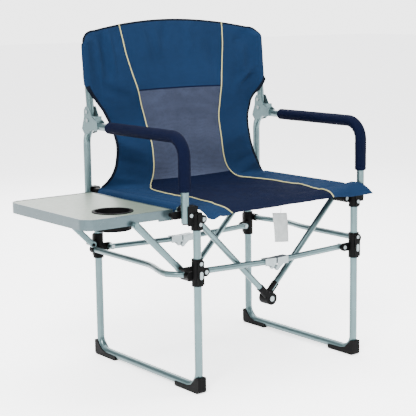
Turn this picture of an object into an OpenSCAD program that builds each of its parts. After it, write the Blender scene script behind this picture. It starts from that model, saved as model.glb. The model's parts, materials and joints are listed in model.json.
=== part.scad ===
// Folding director chair with a side table.
// Frame: +Z up, chair front towards -Y, floor at Z = 0. The origin lies under the
// middle of the box that bounds the whole chair, side table included.
// "Left" is the -X side, which carries the side table.

/* [Leg frames] */
// Distance between the left and right leg axes
leg_spacing = 500; // [440:1:560]
// Distance between the front and rear leg axes
leg_depth = 430; // [380:1:480]
// Outside diameter of the leg and armrest tube
tube_d = 19; // [17:0.5:21]
// Wall of the steel tube
tube_wall = 1.2; // [0.8:0.1:2]
// Axis radius of the floor bends
leg_bend_r = 38; // [30:1:50]
// Height of the floor runner's axis
runner_h = 12.5; // [11.5:0.5:16]
// Height of the leg's top end
leg_top = 424; // [418:1:427]

/* [Feet] */
// Length of a foot cap along the runner
foot_len = 96; // [70:1:120]
// Height of a foot cap up the leg
foot_h = 38; // [34:1:46]
// Plastic around the tube
foot_wall = 2.5; // [1.5:0.5:4]

/* [Armrests] */
// Outboard offset of the armrest loop from the leg
loop_out = 28; // [26:1:34]
// Distance between the front and rear armrest uprights
loop_depth = 418; // [390:1:450]
// Height of the armrest tube's axis
arm_h = 604; // [560:1:650]
// Axis radius of the armrest bends
loop_bend_r = 46; // [36:1:60]
// Height of the lower ends of the armrest loop
loop_foot = 408; // [402:1:412]
// Outside diameter of the foam sleeve
pad_d = 29; // [26:1:34]
// Lower end of the foam sleeve on the front upright
pad_low = 480; // [465:1:520]
// Rear end of the foam sleeve, measured back from the middle
pad_back = 105; // [60:1:130]

/* [Seat] */
// Diameter of the seat rail
rail_d = 16; // [14:0.5:18]
// Height of the seat rail's axis
rail_h = 433; // [430:1:440]
// Outboard offset of the seat rail from the leg
rail_out = 14; // [12:1:16]
// Thickness of the sling cloth with its lining
cloth_t = 3; // [2:0.5:5]
// How far the seat sags in the middle
seat_sag = 6; // [4:1:24]
// Front overhang of the seat beyond the front leg axis
seat_front = 12; // [4:1:20]

/* [Cross bars] */
// Diameter of the folding cross bars
bar_d = 15; // [13:0.5:16]
// Height of the cross bar's outer pivots
bar_h = 286; // [260:1:310]
// Inboard offset of the cross bar's outer pivot from the leg
bar_inset = 28; // [26:1:34]
// How far inside the leg plane the cross bars lie
bar_back = 19; // [18:0.5:22]
// Over-centre sag of the cross bar at its middle
bar_sag = 6.5; // [3:0.5:10]
// Drop of the centre hinge's pin below the bar
hinge_drop = 15; // [13:0.5:18]
// Sheet thickness of the centre hinge
leaf_t = 1.5; // [1:0.25:2]

/* [V linkage] */
// Diameter of the linkage arms
link_d = 15; // [13:0.5:16]
// Height of the linkage's top pivots
link_h = 412; // [408:1:418]
// Inboard offset of the linkage's top pivot from the leg
link_inset = 22; // [20:1:24]
// Height of the hub pin
hub_h = 182; // [150:1:230]
// Diameter of the hub eyes
hub_d = 32; // [28:1:38]
// Side gap between pieces that slide past each other
lap_gap = 1; // [0.6:0.1:1.5]

/* [Backrest] */
// Height of the backrest pivot
back_pivot_h = 640; // [636:1:660]
// Height of the top of the backrest posts
post_top = 806; // [780:1:840]
// Backward lean of the posts, in degrees
rake = 5.5; // [3:0.5:8]
// Height that the arched top of the cloth adds over the posts
back_arch = 60; // [40:1:75]
// Outside diameter of the cloth sleeve on a post
sleeve_d = 24; // [22.5:0.5:27]

/* [Side table] */
// Width of the table across the chair
table_w = 234; // [200:1:260]
// Length of the table along the chair
table_l = 356; // [320:1:360]
// Height of the table's top face
table_h = 438; // [436:1:442]
// Height of the frame's skirt
skirt_h = 25; // [22:1:30]
// Wall of the frame's skirt
skirt_t = 3; // [2:0.5:5]
// Radius of the outer corners
corner_r = 30; // [15:1:45]
// Diameter of the cup holder's opening
cup_d = 86; // [70:1:95]
// Depth of the cup holder
cup_depth = 42; // [30:1:60]
// Width of a folding strut's flat tube
strut_w = 16; // [14:0.5:18]
// Thickness of a folding strut's flat tube
strut_t = 9; // [7:0.5:10]

/* [Hidden] */
$fn = 48;

// clearances
fit = 0.1;      // tube in its socket, per side
run = 0.05;     // pin in its eye, per side
soft_gap = 0.3; // cloth or foam around a tube, per side
eps = 0.01;     // cutters reach this far past a face

// leg frame, armrest loop and rail positions of the rear right quarter
leg_x = leg_spacing/2;
leg_y = leg_depth/2;
loop_x = leg_x + loop_out;
loop_y = loop_depth/2;
rail_x = leg_x + rail_out;

// plastic brackets: each reaches as far as the pieces it joins
socket_wall = 4;
socket_d = tube_d + 2*socket_wall;
lug_r = 10;
table_pin_h = table_h - 12;
table_ear_r = 9;
rail_socket_d = rail_d + 8;
seat_bracket_low = min(leg_top - 34, link_h - lug_r);
seat_socket_top = max(leg_top + 6, link_h + lug_r);
saddle_low = min(loop_foot - 6, table_pin_h - table_ear_r);
seat_bracket_top = max(rail_h + 14, table_pin_h + table_ear_r);
saddle_front = min(loop_y - 12, leg_y);
saddle_rear = max(loop_y + 12, leg_y);
mid_bracket_h = 64;
mid_bracket_low = bar_h - 28;
lug_t = 7;
pin_d = 6;
head_d = 10;
head_t = 2;

// cross bars
bar_y = leg_y - bar_back;
bar_x = leg_x - bar_inset;
bar_mid_h = bar_h - bar_sag;
hinge_h = bar_mid_h - hinge_drop;
bar_slope = atan(bar_sag/bar_x);
bar_end_gap = 1.5;
leaf_len = 36;
leaf_r = 7;

// V linkage: the left arm's plane lies next to the bar, the right arm's inside it
link_x = leg_x - link_inset;
link_left_y = bar_y - bar_d/2 - link_d/2 - 2 - lap_gap;
link_right_y = link_left_y - link_d - lap_gap;
link_len = sqrt(link_x*link_x + (link_h - hub_h)*(link_h - hub_h));
link_angle = atan((link_h - hub_h)/link_x);
hub_pin_d = 8;
eye_socket_d = link_d + 3.5;
eye_socket_len = 46;
link_seat = 22;

// backrest
back_pivot_y = loop_y - 21;
post_low = back_pivot_h - 16;
cheek_t = 1.5;
cheek_gap = 0.4;
seam_h = back_pivot_h;
sleeve_low = seam_h + 62;
waist_x = leg_x - 31;
// height of a point of the cloth drawn h over the rail of a 207 high sling
function sling_h(h) = rail_h + h*(seam_h - rail_h)/207;
back_w = loop_x + sleeve_d/2;
back_corner_r = 42;
// edge of the cloth below the sleeves, half width and height
waist_edge = [
    [waist_x + 24, seam_h], [waist_x + 13, sling_h(189)], [waist_x + 5, sling_h(162)],
    [waist_x, sling_h(122)], [waist_x + 5, sling_h(87)], [waist_x + 19, sling_h(47)],
    [waist_x + 31, sling_h(27)], [waist_x + 41, sling_h(10)]
];

// side table
table_in = loop_x + tube_d/2 + 2.5;
table_out = table_in + table_w;
table_pin_x = table_in + 9;
table_ear_t = 6;
strut_y = table_l/2 + strut_t/2 + 4.5;
strut_foot_x = loop_x + 5;
strut_foot_h = mid_bracket_low + 42;
strut_top_x = table_out - 124;
strut_top_h = table_h - 24;
strut_dx = strut_top_x - strut_foot_x;
strut_dz = strut_top_h - strut_foot_h;
strut_len = sqrt(strut_dx*strut_dx + strut_dz*strut_dz);
strut_angle = atan(strut_dx/strut_dz);
cup_x = table_out - 116;
cup_y = -table_l/2 + 72;
cup_wall = 2;

// side bars
side_d = 15;
side_x = leg_x + 18;
side_left_h = mid_bracket_low + 25;
side_right_h = mid_bracket_low + 47;
side_end = leg_y - 6;
rail_end = loop_y - 12;
side_seat = leg_y - 17;
side_facets = 16;

// origin under the middle of the bounding box
origin_x = (table_out - loop_x - pad_d/2)/2;

silver = [0.74, 0.80, 0.81];
black = [0.06, 0.06, 0.07];
blue = [0.10, 0.24, 0.46];
navy = [0.05, 0.08, 0.20];
bright = [0.85, 0.86, 0.87];
tray = [0.72, 0.74, 0.68];

// ---------- placing ----------
// Pieces are drawn in the rear right quarter and mirrored to their own.
module place(side = 1, end = 1) {
    translate([origin_x, 0, 0])
        mirror([side < 0 ? 1 : 0, 0, 0])
            mirror([0, end < 0 ? 1 : 0, 0])
                children();
}

// ---------- shared shapes ----------
module rod(p, q, d) {
    v = q - p;
    l = norm(v);
    translate(p)
        rotate([0, acos(v[2]/l), atan2(v[1], v[0])])
            cylinder(h = l, d = d);
}

module pin_y(x, y0, y1, z, d) {
    translate([x, y1, z]) rotate([90, 0, 0]) cylinder(h = y1 - y0, d = d);
}

// Quarter bend in the YZ plane: centre, axis radius, start angle from +Y
module bend(y, z, r, start, d) {
    translate([0, y, z])
        rotate([90, 0, 90])
            rotate([0, 0, start])
                rotate_extrude(angle = 90) translate([r, 0]) circle(d = d);
}

// U of tube: open side up (legs) when dir = 1, open side down (armrest) when dir = -1
module u_tube(half, end_h, base_h, r, dir, d, over = 0) {
    stem0 = min(base_h + dir*r, end_h) - (dir < 0 ? over : 0);
    stem1 = max(base_h + dir*r, end_h) + (dir > 0 ? over : 0);
    for (e = [-1, 1])
        translate([0, e*half, stem0]) cylinder(h = stem1 - stem0, d = d);
    rod([0, -half + r, base_h], [0, half - r, base_h], d);
    bend(half - r, base_h + dir*r, r, dir > 0 ? 270 : 0, d);
    bend(-half + r, base_h + dir*r, r, dir > 0 ? 180 : 90, d);
}

module leg_u(d, over = 0) {
    translate([leg_x, 0, 0]) u_tube(leg_y, leg_top, runner_h, leg_bend_r, 1, d, over);
}

module loop_u(d, over = 0) {
    translate([loop_x, 0, 0]) u_tube(loop_y, loop_foot, arm_h, loop_bend_r, -1, d, over);
}

module flat_plate(t) {
    // plate in the XZ plane, t thick along +Y
    translate([0, t, 0]) rotate([90, 0, 0]) linear_extrude(t) children();
}

// ---------- side frames ----------
module leg_frame(side) {
    color(silver) place(side) difference() {
        leg_u(tube_d);
        leg_u(tube_d - 2*tube_wall, 1);
    }
}

module foot(side, end) {
    y0 = leg_y + tube_d/2 + foot_wall;
    color(black) place(side, end) difference() {
        translate([leg_x - tube_d/2 - foot_wall, 0, 0])
            rotate([90, 0, 90])
                linear_extrude(tube_d + 2*foot_wall)
                    polygon([
                        [y0, 6], [y0 - 2, 2], [y0 - 6, 0],
                        [y0 - foot_len + 3, 0], [y0 - foot_len, 3],
                        [y0 - foot_len, runner_h - 1],
                        [leg_y - leg_bend_r, runner_h],
                        [leg_y - leg_bend_r*0.5, runner_h + leg_bend_r*0.13],
                        [leg_y - leg_bend_r*0.13, runner_h + leg_bend_r*0.5],
                        [leg_y, foot_h], [y0, foot_h]
                    ]);
        leg_u(tube_d + 2*fit);
    }
}

module arm_loop(side) {
    color(silver) place(side) difference() {
        loop_u(tube_d);
        loop_u(tube_d - 2*tube_wall, 1);
    }
}

// Foam sleeve from the rear of the armrest round the front bend
module arm_pad(side) {
    color(navy) place(side) difference() {
        translate([loop_x, 0, 0]) pad_path(pad_d, 0);
        translate([loop_x, 0, 0]) pad_path(tube_d + 2*soft_gap, 1);
    }
}

module pad_path(d, over) {
    pad_end = max(pad_low, seat_bracket_top + 6);
    rod([0, -loop_y + loop_bend_r, arm_h], [0, pad_back + over, arm_h], d);
    bend(-loop_y + loop_bend_r, arm_h - loop_bend_r, loop_bend_r, 90, d);
    translate([0, -loop_y, pad_end - over])
        cylinder(h = arm_h - loop_bend_r - pad_end + over, d = d);
}

module seat_rail(side) {
    color(silver) place(side) difference() {
        rod([rail_x, -rail_end, rail_h], [rail_x, rail_end, rail_h], rail_d);
        rod([rail_x, -loop_y, rail_h], [rail_x, loop_y, rail_h], rail_d - 2*tube_wall);
    }
}

// How far a side bar has swung out at y: a cosine swell between two straight ends
function bow(y, out, mid, front, back) =
    let(half = y < mid ? front : back)
        abs(y - mid) > half ? 0 : out*(1 + cos(180*(y - mid)/half))/2;

// Side bar, swept along its route as one closed skin with a ring at each step
module side_bar(side, h, out, mid, front, back) {
    steps = 24;
    ys = [for (i = [0 : steps]) -side_end + 2*side_end*i/steps];
    xs = [for (y = ys) side_x + bow(y, out, mid, front, back)];
    function slope(i) = let(a = max(i - 1, 0), b = min(i + 1, steps))
        atan2(xs[b] - xs[a], ys[b] - ys[a]);
    pts = [for (i = [0 : steps]) for (k = [0 : side_facets - 1])
        let(a = 360*k/side_facets, r = side_d/2*cos(a), t = slope(i))
            [xs[i] + r*cos(t), ys[i] - r*sin(t), h + side_d/2*sin(a)]];
    function at(i, k) = i*side_facets + k % side_facets;
    faces = concat(
        [for (i = [0 : steps - 1]) for (k = [0 : side_facets - 1])
            [at(i, k), at(i, k + 1), at(i + 1, k + 1), at(i + 1, k)]],
        [[for (k = [side_facets - 1 : -1 : 0]) at(0, k)]],
        [[for (k = [0 : side_facets - 1]) at(steps, k)]]
    );
    color(silver) place(side) polyhedron(points = pts, faces = faces);
}

// ---------- plastic brackets ----------
// Joins the leg top, the foot of the armrest loop, the seat rail and a linkage arm
module seat_bracket(side, end) {
    inner_y = side < 0 ? link_left_y : link_right_y;
    color(black) place(side, end) difference() {
        union() {
            translate([leg_x, leg_y, seat_bracket_low])
                cylinder(h = seat_socket_top - seat_bracket_low, d = socket_d);
            translate([leg_x - 7, leg_y, seat_bracket_low + 3])
                cube([14, socket_d/2 + 1.5, leg_top - seat_bracket_low]);
            // saddle that cradles the inner half of the armrest tube
            translate([leg_x, saddle_front, saddle_low])
                cube([loop_x - leg_x, saddle_rear - saddle_front, seat_bracket_top - saddle_low]);
            // socket of the seat rail
            pin_y(rail_x, loop_y - 34, loop_y + 8, rail_h, rail_socket_d);
            // lug of the linkage arm
            pin_y(link_x, inner_y + link_d/2 + 0.5, leg_y - 3, link_h, 2*lug_r);
            translate([link_x, leg_y - 3 - lug_t - 2, link_h - lug_r])
                cube([leg_x - link_x, lug_t + 2, 2*lug_r]);
            if (side < 0) table_ear();
        }
        translate([leg_x, leg_y, seat_bracket_low - eps])
            cylinder(h = leg_top - seat_bracket_low + eps, d = tube_d + 2*fit);
        translate([loop_x, loop_y, saddle_low - 4])
            cylinder(h = seat_bracket_top - saddle_low + 14, d = tube_d + 2*fit);
        pin_y(rail_x, loop_y - 40, rail_end + fit, rail_h, rail_d + 2*fit);
        pin_y(link_x, 0, leg_y + 20, link_h, pin_d);
    }
}

// Ear that reaches out past the armrest tube and holds the table's hinge pin
module table_ear() {
    ear_y = loop_y - 10 - table_ear_t;
    translate([rail_x, ear_y, table_pin_h - 9]) cube([table_pin_x - rail_x, table_ear_t, 18]);
    pin_y(table_pin_x, ear_y, ear_y + table_ear_t, table_pin_h, 18);
    pin_y(table_pin_x, table_l/2 - 12, ear_y + table_ear_t, table_pin_h, 8);
}

// Slides on the leg and carries the cross bar, the side bar and the table strut
module mid_bracket(side, end) {
    side_h = side < 0 ? side_left_h : side_right_h;
    color(black) place(side, end) difference() {
        union() {
            translate([leg_x, leg_y, mid_bracket_low])
                cylinder(h = mid_bracket_h, d = socket_d);
            translate([leg_x - 9, leg_y, mid_bracket_low + 4])
                cube([18, socket_d/2 + 1.5, mid_bracket_h - 8]);
            pin_y(bar_x, bar_y + bar_d/2 + 0.5, leg_y - 3, bar_h, 2*lug_r);
            translate([bar_x, bar_y + bar_d/2 + 0.5, bar_h - lug_r])
                cube([leg_x - bar_x, leg_y - 3 - bar_y - bar_d/2 - 0.5, 2*lug_r]);
            pin_y(side_x, side_seat, leg_y - 1, side_h, side_d + 5);
            if (side < 0) {
                arm_y = max(leg_y - 9, strut_y + strut_t/2 + 1);
                pin_y(strut_foot_x, strut_y - strut_t/2 - 2, arm_y + 8, strut_foot_h, 8);
                translate([leg_x, arm_y, strut_foot_h - 5])
                    cube([strut_foot_x - leg_x, 8, 10]);
            }
        }
        translate([leg_x, leg_y, mid_bracket_low - 1])
            cylinder(h = mid_bracket_h + 2, d = tube_d + 2*fit);
        pin_y(side_x, side_seat - 1, side_end + fit, side_h, side_d + 2*fit);
        pin_y(bar_x, 0, leg_y + 20, bar_h, pin_d);
    }
}

module frame_rivets(side) {
    inner_y = side < 0 ? link_left_y : link_right_y;
    color(bright) for (end = [-1, 1]) place(side, end) {
        // pivot pins of the cross bar and of the linkage arm
        pivot_pin(bar_x, bar_y - bar_d/2, bar_h);
        if (side < 0) pivot_pin(link_x, inner_y - link_d/2, link_h);
        else {
            pin_y(link_x, inner_y + link_d/2 + 0.5, leg_y - 3, link_h, pin_d - 2*run);
            pin_y(link_x, leg_y - 3, leg_y - 3 + head_t, link_h, head_d);
        }
        // heads on the outer faces of the brackets
        pin_y(leg_x, leg_y + socket_d/2 + 1.5, leg_y + socket_d/2 + 3, bar_h + 26, 9);
        oval_head(leg_x, leg_y + socket_d/2 + 1.5, bar_h - 2);
        pin_y(leg_x, leg_y + socket_d/2 + 1.5, leg_y + socket_d/2 + 3, leg_top - 20, 9);
        pin_y(rail_x + 6, saddle_rear, saddle_rear + 2, loop_foot + 18, 9);
    }
}

module pivot_pin(x, y_in, h) {
    pin_y(x, y_in, leg_y - 3, h, pin_d - 2*run);
    pin_y(x, y_in - head_t, y_in - run, h, head_d);
    pin_y(x, leg_y - 3, leg_y - 3 + head_t, h, head_d);
}

module oval_head(x, y, h) {
    for (dz = [-5, 5]) pin_y(x, y, y + 1.5, h + dz, 9);
    translate([x - 4.5, y, h - 5]) cube([9, 1.5, 10]);
}

// ---------- folding cross bars ----------
module cross_bar(side, end) {
    color(silver) place(side, end) difference() {
        union() {
            bar_along(0, bar_x/cos(bar_slope) - bar_end_gap, bar_d);
            pin_y(bar_x, bar_y - bar_d/2, bar_y + bar_d/2, bar_h, bar_d);
        }
        bar_along(12, bar_x/cos(bar_slope), bar_d - 2*tube_wall);
        pin_y(bar_x, 0, leg_y, bar_h, pin_d);
    }
}

// Cylinder on the bar's axis, from a to b, measured inboard from the outer pivot
module bar_along(a, b, d) {
    translate([bar_x, bar_y, bar_h])
        rotate([0, -90 - bar_slope, 0])
            translate([0, 0, a]) cylinder(h = b - a, d = d);
}

// One leaf of the centre hinge: two cheeks with ears under the bar and a top web
module hinge_leaf(side, end) {
    wide = side < 0 ? 0 : leaf_t + 0.3;
    reach = bar_d/2 + 0.1 + wide;
    color(bright) place(side, end) difference() {
        union() {
            for (s = [0, 1])
                translate([0, bar_y + (s ? reach : -reach - leaf_t), 0])
                    flat_plate(leaf_t) leaf_outline();
            translate([bar_end_gap, bar_y - reach - eps, bar_mid_h + bar_d/2 + 0.2])
                rotate([0, -bar_slope, 0])
                    cube([leaf_len - bar_end_gap, 2*reach + 2*eps, leaf_t]);
        }
        pin_y(0, 0, leg_y, hinge_h, pin_d);
    }
}

module leaf_outline() {
    translate([bar_end_gap, bar_mid_h - bar_d/2 - 1])
        rotate(bar_slope)
            square([leaf_len - bar_end_gap, bar_d + 1.2 + leaf_t]);
    translate([0, hinge_h]) circle(r = leaf_r);
    polygon([
        [-leaf_r*0.6, hinge_h + leaf_r*0.8], [bar_end_gap, bar_mid_h - bar_d/2],
        [leaf_len*0.6, bar_mid_h - bar_d/2 + 0.5], [leaf_r*0.9, hinge_h - leaf_r*0.4]
    ]);
}

module hinge_pin(end) {
    reach = bar_d/2 + 2*leaf_t + 0.5;
    color(bright) place(1, end) {
        pin_y(0, bar_y - reach, bar_y + reach, hinge_h, pin_d - 2*run);
        pin_y(0, bar_y + reach, bar_y + reach + head_t, hinge_h, head_d);
        pin_y(0, bar_y - reach - 1.2, bar_y - reach, hinge_h, head_d);
    }
}

// ---------- V linkage ----------
module link_along(y, a, b, d) {
    translate([link_x, y, link_h])
        rotate([0, -90 - link_angle, 0])
            translate([0, 0, a]) cylinder(h = b - a, d = d);
}

module link_arm(side, end) {
    y = side < 0 ? link_left_y : link_right_y;
    color(silver) place(side, end) difference() {
        union() {
            link_along(y, 0, link_len - link_seat, link_d);
            pin_y(link_x, y - link_d/2, y + link_d/2, link_h, link_d);
        }
        link_along(y, 12, link_len, link_d - 2*tube_wall);
        if (side < 0) pin_y(link_x, 0, leg_y, link_h, pin_d);
    }
}

// Moulded eye on an arm's lower end; the two eyes of a hub lie side by side
module hub_eye(side, end) {
    y = side < 0 ? link_left_y : link_right_y;
    lap = link_left_y - link_d/2 - lap_gap/2;
    color(black) place(side, end) difference() {
        union() {
            pin_y(0, y - link_d/2, y + link_d/2, hub_h, hub_d);
            link_along(y, link_len - eye_socket_len, link_len - 8, eye_socket_d);
        }
        link_along(y, 0, link_len - link_seat + fit, link_d + 2*fit);
        pin_y(0, 0, leg_y, hub_h, hub_pin_d);
        // flat face on the side of the other eye
        translate([-100, side < 0 ? lap + lap_gap/2 - 20 : lap - lap_gap/2, hub_h - 100])
            cube([200, 20, 200]);
    }
}

module hub_pin(end) {
    y0 = link_right_y - link_d/2;
    y1 = link_left_y + link_d/2;
    color(bright) place(1, end) {
        pin_y(0, y0, y1, hub_h, hub_pin_d - 2*run);
        pin_y(0, y1, y1 + 1.8, hub_h, 13);
        pin_y(0, y0 - head_t, y0, hub_h, 13);
    }
}

// ---------- backrest ----------
// Folded sheet bracket: two cheeks beside the armrest's rear bend
module back_bracket(side) {
    color(silver) place(side) difference() {
        for (s = [-1, 1])
            translate([loop_x + s*(tube_d/2 + cheek_gap) - (s < 0 ? cheek_t : 0), 0, 0])
                rotate([90, 0, 90]) linear_extrude(cheek_t) cheek_outline();
        rod([0, back_pivot_y, back_pivot_h], [400, back_pivot_y, back_pivot_h], pin_d);
    }
    color(black) place(side)
        translate([loop_x - tube_d/2 - cheek_gap, back_pivot_y - 36, arm_h + tube_d/2 + fit])
            cube([tube_d + 2*cheek_gap, 23.5, back_pivot_h - tube_d/2 - 1 - arm_h - tube_d/2]);
}

module cheek_outline() {
    difference() {
        union() {
            polygon([
                [loop_y - 8, arm_h - 22], [loop_y + 4, arm_h - 8], [back_pivot_y + 14, arm_h + 22],
                [back_pivot_y + 13, back_pivot_h + 4], [back_pivot_y + 6, back_pivot_h + 13],
                [back_pivot_y - 8, back_pivot_h + 13], [back_pivot_y - 22, arm_h + 24],
                [back_pivot_y - 46, arm_h + 12], [back_pivot_y - 50, arm_h - 7]
            ]);
        }
        translate([back_pivot_y - 24, arm_h - 24]) circle(r = 16);
    }
}

module back_pin(side) {
    w = tube_d/2 + cheek_gap + cheek_t;
    color(bright) place(side) {
        rod([loop_x - w, back_pivot_y, back_pivot_h],
            [loop_x + w, back_pivot_y, back_pivot_h], pin_d - 2*run);
        for (s = [-1, 1])
            rod([loop_x + s*w, back_pivot_y, back_pivot_h],
                [loop_x + s*(w + head_t), back_pivot_y, back_pivot_h], head_d);
        for (s = [-1, 1])
            rod([loop_x + s*w, back_pivot_y - 2, arm_h + 14],
                [loop_x + s*(w + head_t), back_pivot_y - 2, arm_h + 14], head_d);
    }
}

// Turns the upright backrest about its pivots into its lean
module raked() {
    translate([0, back_pivot_y, back_pivot_h])
        rotate([-rake, 0, 0])
            translate([0, 0, -back_pivot_h])
                children();
}

module back_post(side) {
    color(silver) place(side) difference() {
        raked() difference() {
            translate([loop_x, 0, post_low]) cylinder(h = post_top - post_low, d = tube_d);
            translate([loop_x, 0, post_low - 1])
                cylinder(h = post_top - post_low - 3, d = tube_d - 2*tube_wall);
        }
        rod([0, back_pivot_y, back_pivot_h], [400, back_pivot_y, back_pivot_h], pin_d);
    }
}

// Back panel with a sleeve on each post
module back_sling() {
    color(blue) place() raked() difference() {
        union() {
            translate([0, cloth_t/2, 0])
                rotate([90, 0, 0]) linear_extrude(cloth_t) back_outline();
            for (s = [-1, 1])
                translate([s*loop_x, 0, sleeve_low]) cylinder(h = post_top + 6 - sleeve_low, d = sleeve_d);
        }
        for (s = [-1, 1])
            translate([s*loop_x, 0, seam_h])
                cylinder(h = post_top + 0.5 - seam_h, d = tube_d + 2*soft_gap);
    }
}

module back_outline() {
    xc = back_w - back_corner_r;
    top = post_top + back_arch;
    corner = top - 25 - back_corner_r;
    half = concat(
        [[waist_x + 47, seam_h + 27], [back_w - 6, sleeve_low - 12], [back_w, sleeve_low]],
        [for (a = [0 : 15 : 75]) [xc + back_corner_r*cos(a), corner + back_corner_r*sin(a)]],
        [[back_w*0.69, top - 16], [back_w*0.38, top - 5]]
    );
    n = len(half) - 1;
    polygon(concat(
        [waist_edge[0]], half, [[0, top]],
        [for (i = [n : -1 : 0]) [-half[i][0], half[i][1]]],
        [[-waist_edge[0][0], seam_h]]
    ));
}

// Cloth from the back panel down and forward to the rear edge of the seat
waist_rear_y = back_pivot_y - 33;
module waist_sling() {
    drop = seam_h - soft_gap;
    color(blue) place() difference() {
        rotate([90, 0, 90]) translate([0, 0, -rail_x]) linear_extrude(2*rail_x)
            polygon([
                [back_pivot_y - cloth_t/2, drop], [back_pivot_y + cloth_t/2, drop],
                [waist_rear_y + 17, sling_h(167)], [waist_rear_y + 9, sling_h(115)],
                [waist_rear_y + 3, sling_h(72)], [waist_rear_y - 3, sling_h(20)],
                [waist_rear_y - 3, rail_h], [waist_rear_y - 7.7, rail_h],
                [waist_rear_y - 7.7, sling_h(16)], [waist_rear_y, sling_h(72)],
                [waist_rear_y + 6, sling_h(115)], [waist_rear_y + 14, sling_h(167)]
            ]);
        for (s = [-1, 1])
            rod([s*rail_x, 0, rail_h], [s*rail_x, loop_y, rail_h],
                rail_d + 4*soft_gap + 2*cloth_t);
        for (s = [0, 1]) mirror([s, 0, 0])
            translate([0, waist_rear_y + 60, 0]) rotate([90, 0, 0]) linear_extrude(120)
                polygon(concat(waist_edge, [[rail_x + 10, rail_h], [rail_x + 10, seam_h + 10]]));
        for (s = [-1, 1])
            rod([s*rail_x, 0, rail_h], [s*rail_x, loop_y, rail_h],
                rail_d + 4*soft_gap + 2*cloth_t);
        for (s = [0, 1]) mirror([s, 0, 0])
            translate([0, waist_rear_y + 60, 0]) rotate([90, 0, 0]) linear_extrude(120)
                polygon([
                    [waist_x + 4, seam_h], [waist_x, sling_h(122)], [waist_x + 6, sling_h(72)],
                    [rail_x - 14, rail_h + 16], [rail_x + 10, rail_h], [rail_x + 10, seam_h + 10]
                ]);
    }
}

// Seat panel that sags between two sleeves on the rails
module seat_sling() {
    sleeve = rail_d + 2*soft_gap + 2*cloth_t;
    n = 8;
    xs = [for (i = [-n : n]) i/n*rail_x];
    crown = rail_h + rail_d/2 + soft_gap + cloth_t/2;
    function dip(x) = crown - seat_sag*(1 - pow(x/rail_x, 2));
    color(blue) place() difference() {
        union() {
            translate([0, waist_rear_y - 8, 0]) rotate([90, 0, 0])
                linear_extrude(waist_rear_y - 8 + leg_y + seat_front)
                    polygon(concat(
                        [for (x = xs) [x, dip(x) + cloth_t/2]],
                        [for (i = [2*n : -1 : 0]) [xs[i], dip(xs[i]) - cloth_t/2]]
                    ));
            for (s = [-1, 1])
                rod([s*rail_x, -loop_y + 36, rail_h], [s*rail_x, loop_y - 36, rail_h], sleeve);
        }
        for (s = [-1, 1]) {
            rod([s*rail_x, -leg_depth, rail_h], [s*rail_x, leg_depth, rail_h], rail_d + 2*soft_gap);
            translate([s*(leg_x - socket_d/2 + 29) - 30, -leg_y - 30, rail_h - 30])
                cube([60, 30 + leg_y - loop_y + 36, 60]);
        }
    }
}

// ---------- side table ----------
module table_outline(grow = 0) {
    x0 = table_in - grow;
    x1 = table_out + grow;
    y1 = table_l/2 + grow;
    r = corner_r + grow;
    translate([x0, -y1]) square([x1 - x0 - r, 2*y1]);
    translate([x0, -y1 + r]) square([x1 - x0, 2*y1 - 2*r]);
    for (s = [-1, 1]) translate([x1 - r, s*(y1 - r)]) circle(r = r);
}

module table_frame() {
    low = table_h - skirt_h;
    color(silver) place(-1) difference() {
        union() {
            translate([0, 0, low]) linear_extrude(skirt_h) difference() {
                table_outline();
                table_outline(-skirt_t);
            }
            // lip under the panel
            translate([0, 0, table_h - 8]) linear_extrude(4) difference() {
                table_outline(-1);
                table_outline(-skirt_t - 7);
            }
            // hinge blocks in the inner corners
            for (s = [-1, 1])
                translate([table_in + 1, s > 0 ? table_l/2 - 16 : -table_l/2 + 1, table_pin_h - 8])
                    cube([18, 15, 12]);
        }
        for (s = [-1, 1])
            pin_y(table_pin_x, s > 0 ? table_l/2 - 13 : -table_l/2 - 1,
                  s > 0 ? table_l/2 + 1 : -table_l/2 + 13, table_pin_h, 8 + 2*run);
        // slot in which the head of a strut slides
        for (s = [-1, 1]) slot(s);
    }
}

module slot(s) {
    y0 = s > 0 ? table_l/2 - skirt_t - 1 : -table_l/2 - 1;
    a = table_pin_x + 34;
    for (x = [a, strut_top_x]) pin_y(x, y0, y0 + skirt_t + 2, strut_top_h, pin_d + 1);
    translate([a, y0, strut_top_h - pin_d/2 - 0.5])
        cube([strut_top_x - a, skirt_t + 2, pin_d + 1]);
}

module table_top() {
    color(tray) place(-1) difference() {
        translate([0, 0, table_h - 4 + fit]) linear_extrude(3) table_outline(-skirt_t - fit);
        translate([cup_x, cup_y, table_h - cup_depth])
            cylinder(h = 2*cup_depth, d = cup_d + 2*fit);
    }
}

module cup_holder() {
    rim_d = cup_d + 10;
    color(black) place(-1) translate([cup_x, cup_y, 0]) difference() {
        union() {
            translate([0, 0, table_h - cup_depth]) cylinder(h = cup_depth, d = cup_d);
            translate([0, 0, table_h - 1 + fit]) cylinder(h = 2, d = rim_d);
        }
        translate([0, 0, table_h - cup_depth + cup_wall])
            cylinder(h = cup_depth + 10, d = cup_d - 2*cup_wall);
    }
}

// Flat tube from the eye on the mid bracket up to the slot in the table's skirt
module table_strut(end) {
    color(silver) place(-1, end) {
        difference() {
            translate([strut_foot_x, strut_y, strut_foot_h])
                rotate([0, strut_angle, 0]) union() {
                    linear_extrude(strut_len) strut_section();
                    for (z = [0, strut_len])
                        translate([0, strut_t/2, z]) rotate([90, 0, 0])
                            cylinder(h = strut_t, d = strut_w);
                }
            pin_y(strut_foot_x, 0, leg_y, strut_foot_h, 8 + 2*run);
        }
    }
    color(black) place(-1, end) {
        pin_y(strut_top_x, table_l/2 + soft_gap, strut_y - strut_t/2, strut_top_h, pin_d);
        pin_y(strut_top_x, strut_y + strut_t/2, strut_y + strut_t/2 + 2, strut_top_h, 12);
    }
}

module strut_section() {
    square([strut_w - strut_t, strut_t], center = true);
    for (s = [-1, 1]) translate([s*(strut_w - strut_t)/2, 0]) circle(d = strut_t);
}

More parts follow.
